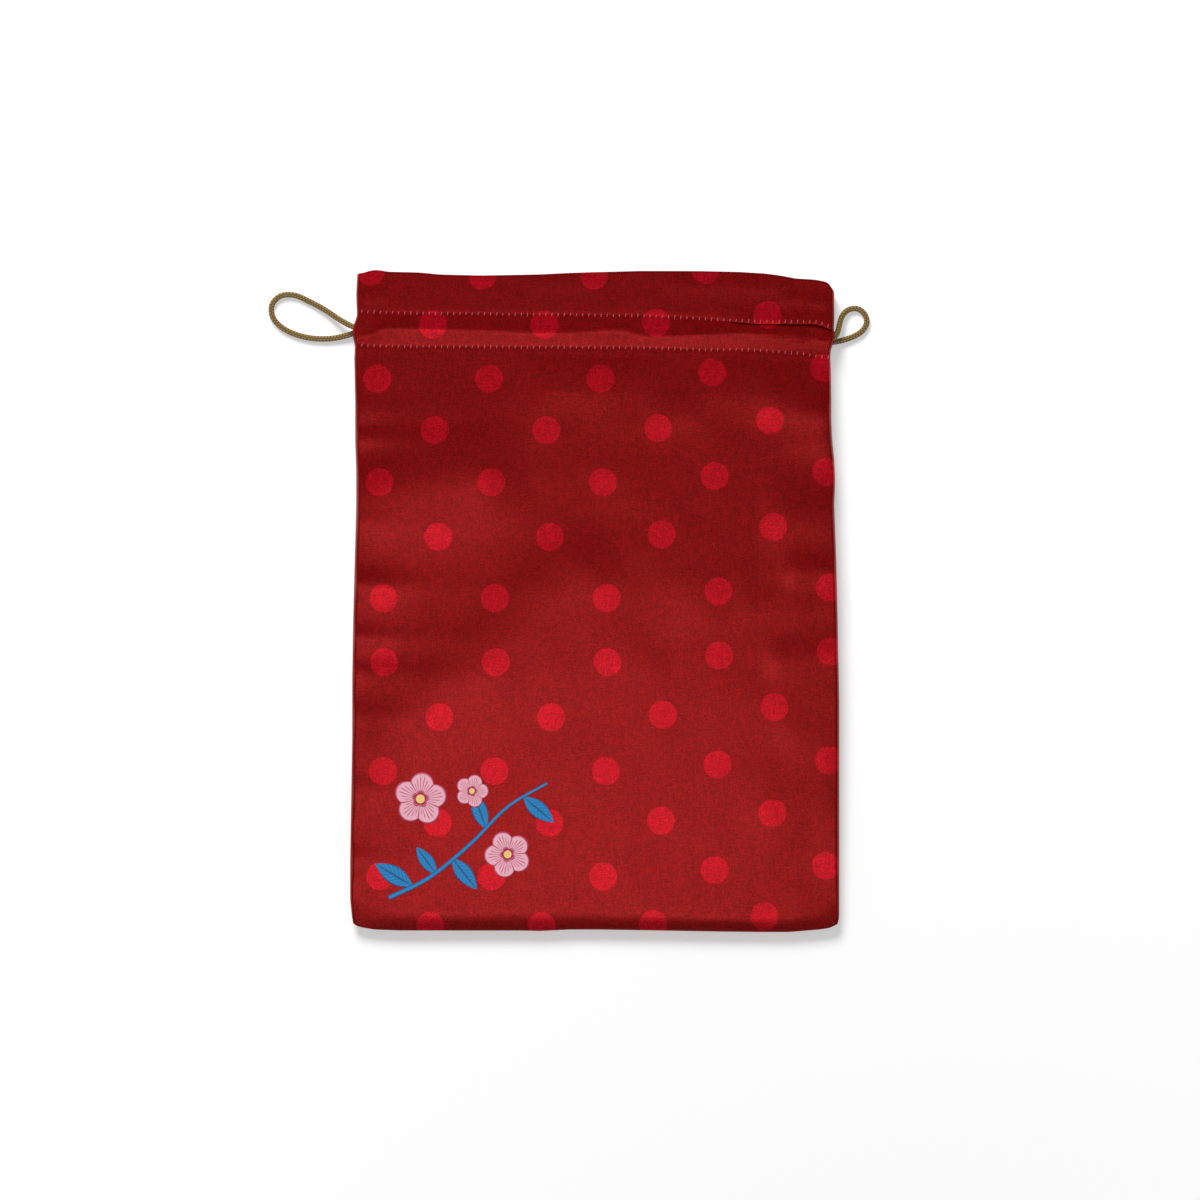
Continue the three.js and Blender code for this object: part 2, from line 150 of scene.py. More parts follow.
def tube_object(name, path, radius, sides, material, uv_length):
    """A closed tube. radius has a value for each ring and side."""
    rings = tube_rings(path, radius, sides)
    count = len(path)
    faces = []
    uv = []
    for i in range(count - 1):
        for j in range(sides):
            k = (j + 1) % sides
            faces.append((i * sides + j, i * sides + k, (i + 1) * sides + k, (i + 1) * sides + j))
            low, high = i * uv_length, (i + 1) * uv_length
            uv += [(j / sides, low), ((j + 1) / sides, low), ((j + 1) / sides, high), (j / sides, high)]
    faces.append(tuple(range(sides))[::-1])
    faces.append(tuple(range((count - 1) * sides, count * sides)))
    uv += [(0, 0)] * (2 * sides)
    return mesh_object(name, rings.reshape(-1, 3), faces, material, uv)


# Materials
def new_material(name):
    material = bpy.data.materials.new(name)
    material.use_nodes = True
    tree = material.node_tree
    return material, tree, tree.nodes["Principled BSDF"]


def node(tree, kind, **settings):
    made = tree.nodes.new(kind)
    for key, value in settings.items():
        setattr(made, key, value)
    return made


def math_node(tree, operation, first, second=None, clamp=False):
    made = node(tree, "ShaderNodeMath", operation=operation, use_clamp=clamp)
    for socket, value in zip(made.inputs, (first, second)):
        if value is None:
            continue
        if isinstance(value, (int, float)):
            socket.default_value = value
        else:
            tree.links.new(value, socket)
    return made.outputs[0]


def add(tree, first, second):
    return math_node(tree, "ADD", first, second)


def times(tree, first, second):
    return math_node(tree, "MULTIPLY", first, second)


def absolute(tree, value):
    return math_node(tree, "ABSOLUTE", value)


def highest(tree, first, *others):
    for other in others:
        first = math_node(tree, "MAXIMUM", first, other)
    return first


def waves(tree, value, count):
    """Half waves from 0 to 1: count of them for each unit of the value."""
    return absolute(tree, math_node(tree, "SINE", times(tree, value, count * math.pi)))


def mix_color(tree, factor, first, second, blend="MIX"):
    made = node(tree, "ShaderNodeMix", data_type="RGBA", blend_type=blend)
    for socket, value in zip((made.inputs[0], made.inputs[6], made.inputs[7]), (factor, first, second)):
        if isinstance(value, (int, float)):
            socket.default_value = value
        elif isinstance(value, tuple):
            socket.default_value = (*value, 1)
        else:
            tree.links.new(value, socket)
    return made.outputs[2]


def ramp(tree, value, low, high):
    """0 below low, 1 above high."""
    made = node(tree, "ShaderNodeMapRange", interpolation_type="SMOOTHSTEP")
    tree.links.new(value, made.inputs[0])
    made.inputs[1].default_value = low
    made.inputs[2].default_value = high
    return made.outputs[0]


def linear(red, green, blue):
    """An sRGB colour from 0 to 255 as the linear values that sockets hold."""
    def channel(c):
        c /= 255
        return c / 12.92 if c <= 0.04045 else ((c + 0.055) / 1.055) ** 2.4
    return tuple(channel(c) for c in (red, green, blue))


def object_coordinates(tree, scale):
    coordinates = node(tree, "ShaderNodeTexCoord")
    mapping = node(tree, "ShaderNodeMapping")
    mapping.inputs["Scale"].default_value = scale
    tree.links.new(coordinates.outputs["Object"], mapping.inputs[0])
    return mapping.outputs[0]


def noise(tree, scale, detail=2.0, roughness=0.5):
    made = node(tree, "ShaderNodeTexNoise")
    tree.links.new(object_coordinates(tree, scale), made.inputs["Vector"])
    made.inputs["Scale"].default_value = 1
    made.inputs["Detail"].default_value = detail
    made.inputs["Roughness"].default_value = roughness
    return made.outputs["Fac"]


# Satin: linear colours, and scales for each metre
SATIN = (0.335, 0.0012, 0.002)
DOT = (0.63, 0.0007, 0.0125)
GRAIN_SHADE = (0.5, 0.4, 0.45)
SATIN_TINT = (1, 0.6, 0.56, 1)
GRAIN = 1500
THREAD_LENGTH = 260
DOT_RADIUS = 7.0  # millimetres
DOT_WOBBLE = 0.5
DOT_ENDS = 0.45  # past the radius
DOT_FULL = 0.1
UNEVEN_SCALE = 14
UNEVEN_SHADES = (0.96, 1.04)
GRAIN_EDGES = (0.36, 0.6)
THREAD_EDGES = (0.4, 0.6)
GRAIN_SHARE = 0.65  # of the speckle; the rest is threads
WEAVE_DEPTH = 0.0003  # metres


def weave_bump(tree, shader, height, strength):
    weave = node(tree, "ShaderNodeBump")
    weave.inputs["Strength"].default_value = strength
    weave.inputs["Distance"].default_value = WEAVE_DEPTH
    tree.links.new(height, weave.inputs["Height"])
    tree.links.new(weave.outputs[0], shader.inputs["Normal"])


def satin_material(name):
    """Satin: a fine weave with a broad sheen in the cloth's own colour, and dots printed on it."""
    material, tree, shader = new_material(name)
    uneven = noise(tree, (UNEVEN_SCALE,) * 3)
    darker, lighter = (tuple(shade * c for c in SATIN) for shade in UNEVEN_SHADES)
    cloth = mix_color(tree, uneven, darker, lighter)
    grain = noise(tree, (GRAIN, GRAIN, GRAIN), 1, 0.5)
    speckle = ramp(tree, grain, *GRAIN_EDGES)
    threads = noise(tree, (GRAIN, THREAD_LENGTH, THREAD_LENGTH), 0, 0.5)
    crossing = noise(tree, (THREAD_LENGTH, GRAIN, THREAD_LENGTH), 0, 0.5)
    threads = ramp(tree, times(tree, add(tree, threads, crossing), 0.5), *THREAD_EDGES)
    speckle = add(tree, times(tree, speckle, GRAIN_SHARE), times(tree, threads, 1 - GRAIN_SHARE))
    offset = node(tree, "ShaderNodeUVMap", uv_map="print")
    length = node(tree, "ShaderNodeVectorMath", operation="LENGTH")
    tree.links.new(offset.outputs[0], length.inputs[0])
    wobble = times(tree, noise(tree, (THREAD_LENGTH,) * 3), DOT_WOBBLE)
    uneven_length = add(tree, length.outputs["Value"], wobble)
    inside = ramp(tree, uneven_length, DOT_RADIUS + DOT_ENDS, DOT_RADIUS + DOT_FULL)
    cloth = mix_color(tree, inside, cloth, DOT)
    cloth = mix_color(tree, speckle, cloth, GRAIN_SHADE, "MULTIPLY")
    tree.links.new(cloth, shader.inputs["Base Color"])
    shader.inputs["Roughness"].default_value = 0.48
    shader.inputs["Metallic"].default_value = 0.6
    shader.inputs["Specular IOR Level"].default_value = 0.5
    shader.inputs["Specular Tint"].default_value = SATIN_TINT
    weave_bump(tree, shader, grain, 0.25)
    return material


GOLD = linear(166, 134, 64)
# painted shade for the grooves between the braid's columns and strands
GOLD_PAINTED_SHADE = linear(38, 26, 4)
GOLD_DULL = linear(98, 76, 32)
FUZZ = 2500
FUZZ_SHARE = 0.5
STRAND_EDGES = (-0.6, 0.3)
GROOVE_EDGES = (0.1, 0.55)
STRAND_SHADE = 0.75


def braid_material():
    """Gold braid: plaited columns along the cord, with painted shade in the grooves between them and
    between the slanted strands of each.
    """
    material, tree, shader = new_material("gold_braid")
    place = node(tree, "ShaderNodeUVMap", uv_map="print")
    parts = node(tree, "ShaderNodeSeparateXYZ")
    tree.links.new(place.outputs[0], parts.inputs[0])
    round_it = times(tree, parts.outputs[0], math.pi * BRAID_COLUMNS)
    along_it = times(tree, parts.outputs[1], 2 * math.pi / BRAID_PITCH)
    turned = math_node(tree, "COSINE", round_it)
    column = absolute(tree, turned)
    slanted = add(tree, along_it, times(tree, column, BRAID_SLANT))
    half_step = times(tree, math_node(tree, "SIGN", turned), math.pi / 2)
    strand = ramp(tree, math_node(tree, "SINE", add(tree, slanted, half_step)), *STRAND_EDGES)
    # painted shade: the colour darkens in the grooves between columns and between the slanted strands
    groove = ramp(tree, column, *GROOVE_EDGES)
    shade = times(tree, groove, add(tree, times(tree, strand, STRAND_SHADE), 1 - STRAND_SHADE))
    colour = mix_color(tree, shade, GOLD_PAINTED_SHADE, GOLD)
    fuzz = times(tree, noise(tree, (FUZZ, FUZZ, FUZZ)), FUZZ_SHARE)
    colour = mix_color(tree, fuzz, colour, GOLD_DULL)
    tree.links.new(colour, shader.inputs["Base Color"])
    shader.inputs["Roughness"].default_value = 0.5
    shader.inputs["Sheen Weight"].default_value = 0.2
    return material


THREAD_DARK = linear(160, 56, 70)
THREAD_LIGHT = linear(198, 100, 112)


def thread_material():
    material, tree, shader = new_material("rose_thread")
    colour = mix_color(tree, noise(tree, (3000, 3000, 3000)), THREAD_DARK, THREAD_LIGHT)
    tree.links.new(colour, shader.inputs["Base Color"])
    shader.inputs["Roughness"].default_value = 0.6
    shader.inputs["Specular IOR Level"].default_value = 0.2
    return material


# Cord
BRAID_PITCH = 0.0016  # metres along the cord
BRAID_COLUMNS = 6
BRAID_SLANT = 2.4
CORD_SIDES = 24
CORD_STEP = 0.0003
CORE = 0.95  # shares of the radius
COLUMN_RISE = 0.07
STRAND_RISE = 0.035

cord_path = smooth_path(CORD_POINTS, CORD_STEP)
cord_way = np.arange(len(cord_path))[:, None] * CORD_STEP * 2 * np.pi / BRAID_PITCH
turned = np.cos(np.arange(CORD_SIDES)[None, :] / CORD_SIDES * np.pi * BRAID_COLUMNS)
column = np.abs(turned)
strand = np.sin(cord_way + BRAID_SLANT * column + np.sign(turned) * np.pi / 2)
cord_radius = CORD_DIAMETER / 2 * (CORE + COLUMN_RISE * np.sqrt(column) + STRAND_RISE * strand)
gold = braid_material()
drawstring = tube_object("drawstring_braid", cord_path, cord_radius, CORD_SIDES, gold, CORD_STEP)
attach(drawstring, "root")
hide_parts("drawstring")

# Outline and seams of the cloth, in pixels of the frame
LEFT_EDGE = [
    (357.4, 270), (357.2, 276), (356.7, 284), (356.2, 296), (357.2, 316), (354.2, 324),
    (352.2, 331), (353.2, 337), (355.2, 345), (354.2, 360), (355.2, 400), (355.2, 440),
    (356.2, 470), (356.2, 505), (355.2, 545), (354.2, 580), (353.2, 620), (352.2, 680),
    (352.2, 740), (351.2, 800), (350.2, 860), (350.2, 900), (352.2, 920), (353.2, 925),
]
RIGHT_EDGE = [
    (832.2, 280), (834.2, 290), (834.2, 304), (834.2, 320), (833.2, 328), (835.2, 334),
    (834.2, 341), (830.7, 348), (830.2, 357), (831.2, 380), (831.2, 420), (832.2, 440),
    (834.2, 460), (835.2, 480), (834.2, 505), (836.2, 560), (837.2, 600), (838.2, 650),
    (839.2, 700), (839.2, 800), (839.2, 900), (839.2, 920), (837.2, 926),
]
TOP_EDGE = [
    (352, 274.6), (358, 274), (363, 273.4), (369, 271.4), (375, 270.4), (381, 270.8), (388, 272.2),
    (420, 273), (440, 275), (480, 276), (540, 275), (570, 273.5), (600, 272.5), (640, 271.5),
    (700, 271.5), (740, 272.5), (765, 274), (780, 276), (796, 279), (814, 280), (820, 281),
    (827, 282.5), (830, 285), (833, 292),
]
BASE_EDGE = [
    (353, 923.4), (356, 926.4), (362, 927.9), (374, 929.9), (400, 930.9), (520, 930.9),
    (540, 931.4), (570, 929.9), (600, 929.9), (660, 930.9), (720, 931.9), (760, 932.4),
    (790, 932.4), (802, 931.4), (820, 929.9), (830, 928.4), (838, 924.4),
]
UPPER_STITCHES = [
    (358, 311.5), (381, 313), (460, 314), (640, 316), (686, 318), (720, 320), (755, 322),
    (818, 322), (828, 326), (834, 330),
]
LOWER_STITCHES = [
    (356, 345), (382, 346.5), (460, 347), (640, 348), (700, 350), (740, 350), (780, 352),
    (803, 354), (818, 357), (834, 357.5),
]
CASING_CREST = [
    (350, 337), (360, 336), (372, 334), (385, 328), (478, 330), (532, 333), (578, 333), (612, 329),
    (625, 330), (640, 336), (678, 336), (745, 333), (805, 337), (828, 342), (840, 343),
]
HEM_DEPTH = 7.0
SIDE_COLUMNS = (355, 835)  # the two sides, roughly


def blurred(places, values, blur, step, reach, margin):
    """A smooth function through values at places, blurred over as many steps as reach says."""
    fine = np.arange(places[0] - margin, places[-1] + margin, step)
    even = np.pad(np.interp(fine, places, values), reach, mode="edge")
    weights = np.exp(-0.5 * (np.arange(-reach, reach + 1) * step / blur) ** 2)
    even = np.convolve(even, weights / weights.sum(), mode="valid")
    return lambda x: np.interp(x, fine, even)


def curve_through(points, axis, blur=1.5):
    """A function through points of the frame, a little smoothed: of Y if axis is 1, of X if it is 0."""
    at = from_pixels(points)
    at = at[np.argsort(at[:, axis])]
    return blurred(at[:, axis], at[:, 1 - axis], blur, 0.25, 24, 5)


left_x = curve_through(LEFT_EDGE, 1)
right_x = curve_through(RIGHT_EDGE, 1)
top_y = curve_through(TOP_EDGE, 0, 0.8)
base_y = curve_through(BASE_EDGE, 0, 0.8)
upper_y = curve_through(UPPER_STITCHES, 0, 3)
lower_y = curve_through(LOWER_STITCHES, 0, 3)
crest_y = curve_through(CASING_CREST, 0, 2.5)


def place_on(share, line):
    """X and Y of a place on a panel. share runs from 0 at the left to 1 at the right.

    line is 0 at the base, 1 at the hem's edge, 2 and 3 at the stitches and 4 at the fold.
    """
    first_left, first_right = columns_at(SIDE_COLUMNS)
    x = first_left + share * (first_right - first_left)
    stretch = np.clip(line.astype(int), 0, 3)
    for _ in range(2):
        lines = [base_y(x), lower_y(x) - HEM_DEPTH, lower_y(x), upper_y(x), top_y(x)]
        y = np.choose(stretch, lines[:4])
        above = np.choose(stretch, lines[1:])
        y = y + (above - y) * (line - stretch)
        x = left_x(y) + share * (right_x(y) - left_x(y))
    return x, y


def pixel_column(x):
    return x / PIXEL + CENTRE[0]


def smoothstep(x, low, high):
    t = np.clip((x - low) / (high - low), 0, 1)
    return t * t * (3 - 2 * t)


def ridge(x, y, start, end, width, height):
    """A long low fold between two pixels of the frame, with soft ends. Width in millimetres."""
    (x0, y0), (x1, y1) = from_pixels([start, end])
    length = math.hypot(x1 - x0, y1 - y0)
    ux, uy = (x1 - x0) / length, (y1 - y0) / length
    along_it = (x - x0) * ux + (y - y0) * uy
    across = (y - y0) * ux - (x - x0) * uy
    ends = smoothstep(along_it, -width, width) * (1 - smoothstep(along_it, length - width, length + width))
    return height * ends * np.exp(-0.5 * (across / width) ** 2)


# Cloth: thickness and heights in millimetres above the surface
CLOTH = 0.5
SEAM = 5.1
SEAM_GAP = 0.15  # from the seam's level to either cloth
TUNNEL = 3.8  # inner height of a casing
SEAM_LEVEL = 11.8  # the front's underside at the casing
MOUTH_LEVEL = 11.2

# How far the front's casing rises above its stitches: pixel column and millimetres
CASING_RISE = [
    (360, 0.3), (420, 0.5), (640, 0.9), (700, 1.5), (760, 1.4), (815, 0.6),
]

# Height of the body's underside: millimetres below the lower stitches and height
BODY_PROFILE = [
    (0, 11.8), (8, 12.2), (27, 13.1), (67, 13.5), (120, 13.4), (165, 12.7), (215, 10.7), (262, 8.8),
    (285, 8.5),
]

# Low folds: start and end in pixels, width and height in millimetres
FOLDS = [
    ((330, 506), (500, 466), 17, 3.3),
    ((330, 600), (400, 590), 14, 0.8),
    ((600, 560), (375, 740), 15, 1.9),
    ((610, 572), (730, 582), 18, 1.0),
    ((540, 385), (660, 375), 10, 0.8),
    ((650, 415), (700, 408), 7, 0.5),
    ((700, 384), (775, 384), 8, 0.8),
    ((765, 386), (840, 434), 9, 1.4),
    ((770, 515), (850, 518), 9, 1.2),
    ((785, 572), (850, 572), 6, 1.2),
    ((740, 607), (850, 603), 6, 0.6),
    ((770, 663), (850, 655), 6, 1.0),
    ((780, 735), (850, 728), 8, 0.6),
    ((750, 815), (850, 800), 12, 1.0),
    ((480, 690), (640, 640), 12, 0.6),
    ((425, 688), (520, 688), 10, 0.6),
]
# Puckers along the side seams: pixel row, half-length and height in millimetres
LEFT_PUCKERS = [
    (372, 4, 0.4), (412, 5, 1.1), (438, 3.5, 1.8), (524, 4, 0.8), (585, 4.5, 2.4), (638, 4, 1.8),
    (674, 4, 1.2), (718, 4.5, 1.2), (792, 6, 1.4), (862, 5, 1.6),
]
RIGHT_PUCKERS = [
    (362, 4, 0.4), (413, 4, 0.9), (446, 4, 0.7), (572, 4, 0.6), (700, 6, 0.6), (860, 7, 0.6),
]
# Faint folds of the header: start and end in pixels, width and height in millimetres
HEADER_FOLDS = [
    ((665, 284), (790, 287), 3, 0.4), ((778, 299), (840, 303), 2.5, 0.4),
    ((530, 284), (600, 282), 4, 0.35), ((350, 298), (385, 296), 3, 0.3),
    ((430, 283), (500, 290), 5, 0.2),
]


def puckers(y, distance, places, reach):
    total = np.zeros_like(y)
    for row, half, height in places:
        at = (CENTRE[1] - row) * PIXEL
        total += height * np.exp(-0.5 * ((y - at) / half) ** 2)
    return total * np.exp(-distance / reach) * smoothstep(distance, 0, 2)


body_height = blurred(*np.array(BODY_PROFILE, float).T, 4, 0.5, 40, 20)


WAVES = 14
WAVE_STEEPNESS = 0.0009
SHORTEST_WAVE = 14
WAVE_GROWTH = 3
WAVE_TURN = 2.4
WAVE_SHIFT = 1.7


def small_waves(x, y):
    """The slight unevenness of cloth that lies by itself."""
    total = np.zeros_like(x)
    for i in range(WAVES):
        length = SHORTEST_WAVE + WAVE_GROWTH * i
        angle = WAVE_TURN * i
        way = x * math.cos(angle) + y * math.sin(angle)
        total += WAVE_STEEPNESS * length * np.sin(2 * np.pi * way / length + WAVE_SHIFT * i)
    return total


def casing_rise(line):
    """0 at both stitch lines and 1 between them."""
    return np.sin(np.pi * np.clip(line - 2, 0, 1)) ** 0.7


CREST_SHARPNESS = 6
FLAT_FOOT = 2.6  # width of the flat strip above the lower stitches, at the right end
FLAT_FOOT_COLUMNS = (775, 800)


def casing_roof(x, y):
    """0 at both stitch lines and 1 on the casing's wavy crest, with nearly straight sides."""
    crest = crest_y(x)
    foot = lower_y(x) + FLAT_FOOT * smoothstep(pixel_column(x), *FLAT_FOOT_COLUMNS)
    below = np.clip((y - foot) / (crest - foot), -1, 3)
    above = np.clip((upper_y(x) - y) / (upper_y(x) - crest), -1, 3)
    roof = -np.log(np.exp(-CREST_SHARPNESS * below) + np.exp(-CREST_SHARPNESS * above)) / CREST_SHARPNESS
    return np.clip(roof / (1 - math.log(2) / CREST_SHARPNESS), 0, None)


# Cord: its part in the front casing, in millimetres
front_run = np.array(CORD_POINTS[15:27]) / MM
CORD_COVER = 0.35  # from the cord's top to the middle of the outer cloth
CORD_GAP = 0.05
BRAID_GAP = 0.2


def cord_height(x):
    return np.interp(x, front_run[:, 0], front_run[:, 2])


def clear_of_cord(x, y):
    """The lowest middle of the outer cloth that doesn't touch the cord below it, or 0 beside the cord."""
    radius = CORD_RADIUS + BRAID_GAP
    cord_y = np.interp(x, front_run[:, 0], front_run[:, 1])
    aside = np.minimum(np.abs(y - cord_y), radius)
    lowest = cord_height(x) + np.sqrt(radius ** 2 - aside ** 2) + CLOTH / 2 + CORD_GAP
    return np.where(aside < radius, lowest, 0)


def roll(distance, width, power):
    """A rounded rise from 0 at an edge to 1 at a width from it."""
    return 1 - (1 - np.clip(distance / width, 0, 1)) ** power


def distances(share, line):
    """Place on a panel, and how far it is from the left, the right and the base."""
    x, y = place_on(share, line)
    to_left = x - left_x(y)
    to_right = right_x(y) - x
    return x, y, to_left, to_right, y - base_y(x)


# Rounding of the front: widths in millimetres
WALL = 1.3
WALL_POWER = 2.2
DOME = 70
DOME_AT_CASING = 0.08  # share of the height that the dome takes
DOME_IN_BODY = 0.2
DOME_GROWS = (5, 60)  # below the lower stitches
BASE_COLUMNS = (560, 700)
BASE_WIDTHS = (10.5, 8)
CORNER_WIDENING = 7
CORNER_REACH = 12
LEFT_REACH = 20  # how far the puckers run in
RIGHT_REACH = 16
FOLDS_BEGIN = (3, 12)  # below the lower stitches
FOLDS_END = (2, 8)  # from a side and from the base


def front_under(share, line):
    """Underside of the front cloth, facing included."""
    x, y, to_left, to_right, to_base = distances(share, line)
    to_side = np.minimum(to_left, to_right)
    crown = body_height(lower_y(x) - y)
    crown = np.where(line > 2, SEAM_LEVEL, crown)
    crown = crown + (MOUTH_LEVEL - SEAM_LEVEL) * smoothstep(line, 3, 4)
    dome = DOME_AT_CASING + DOME_IN_BODY * smoothstep(lower_y(x) - y, *DOME_GROWS)
    side = (1 - dome) * roll(to_side, WALL, WALL_POWER) + dome * roll(to_side, DOME, 2)
    base_width = np.interp(pixel_column(x), BASE_COLUMNS, BASE_WIDTHS)
    base = roll(to_base, base_width + CORNER_WIDENING * np.exp(-to_side / CORNER_REACH), 2)
    seam = SEAM + SEAM_GAP
    z = seam + (crown - seam) * side * base
    body = smoothstep(lower_y(x) - y, *FOLDS_BEGIN)
    folds = sum(ridge(x, y, *fold) for fold in FOLDS)
    folds = folds + puckers(y, to_left, LEFT_PUCKERS, LEFT_REACH)
    folds = folds + puckers(y, to_right, RIGHT_PUCKERS, RIGHT_REACH)
    folds = folds + small_waves(x, y)
    inner = smoothstep(to_side, 0, FOLDS_END[0]) * smoothstep(to_base, 0, FOLDS_END[1])
    return z + body * folds * inner


STITCH_PITCH = 3.05
UPPER_PULL = 0.13
LOWER_PULL = 0.1
PUCKER_PULL = 0.07
PULL_WIDTH = 1.2
PUCKER_WIDTH = 2.6


def stitch_pull(x, y):
    """How far the cloth is pulled in along the two stitch lines, more at each stitch."""
    result = np.zeros_like(x)
    for line_y, depth in ((upper_y, UPPER_PULL), (lower_y, LOWER_PULL)):
        distance = np.abs(y - line_y(x))
        result += depth * np.exp(-((distance / PULL_WIDTH) ** 2))
        near = np.exp(-((distance / PUCKER_WIDTH) ** 2))
        result += PUCKER_PULL * np.cos(2 * np.pi * x / STITCH_PITCH) * near
    return result


OVERHANG_COLUMNS = (705, 760)
LIP_HEIGHT = 0.7
LIP_HOLLOW = 1.1
CREST_HEIGHT = 0.2


def overhang(x):
    """Where the header hangs over the casing: from 0 to 1 towards the right."""
    return smoothstep(pixel_column(x), *OVERHANG_COLUMNS)


def header_lip(x, line):
    return overhang(x) * smoothstep(line, 2.97, 3.0) * (1 - smoothstep(line, 3.0, 3.35))


def lip_hollow(x, line):
    return overhang(x) * smoothstep(line, 2.8, 2.95) * (1 - smoothstep(line, 2.95, 3.0))


def front_outer(share, line):
    """Middle of the front's outer layer."""
    x, y, to_left, to_right, to_base = distances(share, line)
    to_side = np.minimum(to_left, to_right)
    below = lower_y(x) - y
    inside = smoothstep(to_side, 0, 6)
    layers = CLOTH * np.maximum(smoothstep(below, 12, 2), smoothstep(below, 60, 2) * inside)
    base = front_under(share, line) + layers + CLOTH / 2
    rise = np.interp(pixel_column(x), *zip(*CASING_RISE))
    peak = np.maximum(base + rise, cord_height(x) + CORD_RADIUS + CORD_COVER)
    z = base + (peak - base) * casing_roof(x, y)
    casing = smoothstep(line, 2, 2.1) * (1 - smoothstep(line, 2.9, 3))
    z += inside * casing * CREST_HEIGHT * np.exp(-((y - crest_y(x)) ** 2))
    z += smoothstep(to_side, 0.5, 2) * np.maximum(clear_of_cord(x, y) - z, 0)
    header = smoothstep(line, 3.05, 3.3)
    header_folds = sum(ridge(x, y, *fold) for fold in HEADER_FOLDS)
    z += inside * header * (header_folds + 0.5 * small_waves(x, y))
    z += LIP_HEIGHT * header_lip(x, line) - LIP_HOLLOW * lip_hollow(x, line)
    return z - stitch_pull(x, y)


FACING_DIP = 1.3
FACING_GAP = 0.6  # from the cord down to the middle of the facing
FACING_LIFT = 0.4


def front_inner(share, line):
    """Middle of the front's facing, which is folded inside and dips under the cord."""
    x, y, to_left, to_right, to_base = distances(share, line)
    base = front_under(share, line) + CLOTH / 2
    lowest = np.minimum(base - FACING_DIP, cord_height(x) - CORD_RADIUS - FACING_GAP)
    lowest = np.maximum(lowest, SEAM + FACING_LIFT)
    return base + np.minimum(lowest - base, 0) * casing_rise(line)


# The back: how it rises to its seams and stitches, in millimetres
BACK_SIDE = 6
BACK_BASE = 8
BACK_POWER = 2.2
VALLEY = 1.25
VALLEY_WIDTH = 5
CASING_SETTLES = 0.15


def back_outer(share, line):
    """Middle of the back's outer layer, which lies on the surface."""
    x, y, to_left, to_right, to_base = distances(share, line)
    to_side = np.minimum(to_left, to_right)
    layers = CLOTH * (1 + smoothstep(line, 0.85, 1))
    at_casing = smoothstep(line, 1, 2) * (1 - smoothstep(line, 3, 4))
    lift = (SEAM - SEAM_GAP - layers) * (1 - CASING_SETTLES * at_casing) * (1 - casing_rise(line))
    side = lift * (1 - roll(to_side, BACK_SIDE, BACK_POWER))
    base = (SEAM - SEAM_GAP - CLOTH) * (1 - roll(to_base, BACK_BASE, BACK_POWER))
    to_stitches = np.minimum(np.abs(y - upper_y(x)), np.abs(y - lower_y(x)))
    valley = VALLEY * np.clip(1 - to_stitches / VALLEY_WIDTH, 0, 1)
    return np.maximum(np.maximum(side, base), valley) + CLOTH / 2


def back_inner(share, line):
    """Middle of the back's facing, above the cord."""
    return back_outer(share, line) + CLOTH + TUNNEL * casing_rise(line)


# Dots: pixel row, first dot's pixel, number of dots. The right half of each row is higher.
DOT_PITCH = 111.5
ROW_LIFT = 10.5
ROW_LIFT_COLUMNS = (600, 800)
DOT_ROWS = [
    (272, 371, 1), (276, 482.5, 4), (325, 433, 4), (379, 377.5, 5), (430.5, 435, 4),
    (482.5, 380, 5), (537, 438.5, 4), (598, 383.7, 5), (662, 384.5, 5), (717, 439.8, 4),
    (771, 383, 5), (823, 437.8, 4), (876.5, 380, 5), (926, 430, 4),
]


def dot_centres():
    centres = []
    for row, first, count in DOT_ROWS:
        for i in range(count):
            px = first + DOT_PITCH * i
            lift = ROW_LIFT * float(smoothstep(px, *ROW_LIFT_COLUMNS))
            centres.append((px, row - lift))
    return from_pixels(centres)


EDGE_SHARE = 0.03  # of the width, at either side, where the print follows the cloth's wall


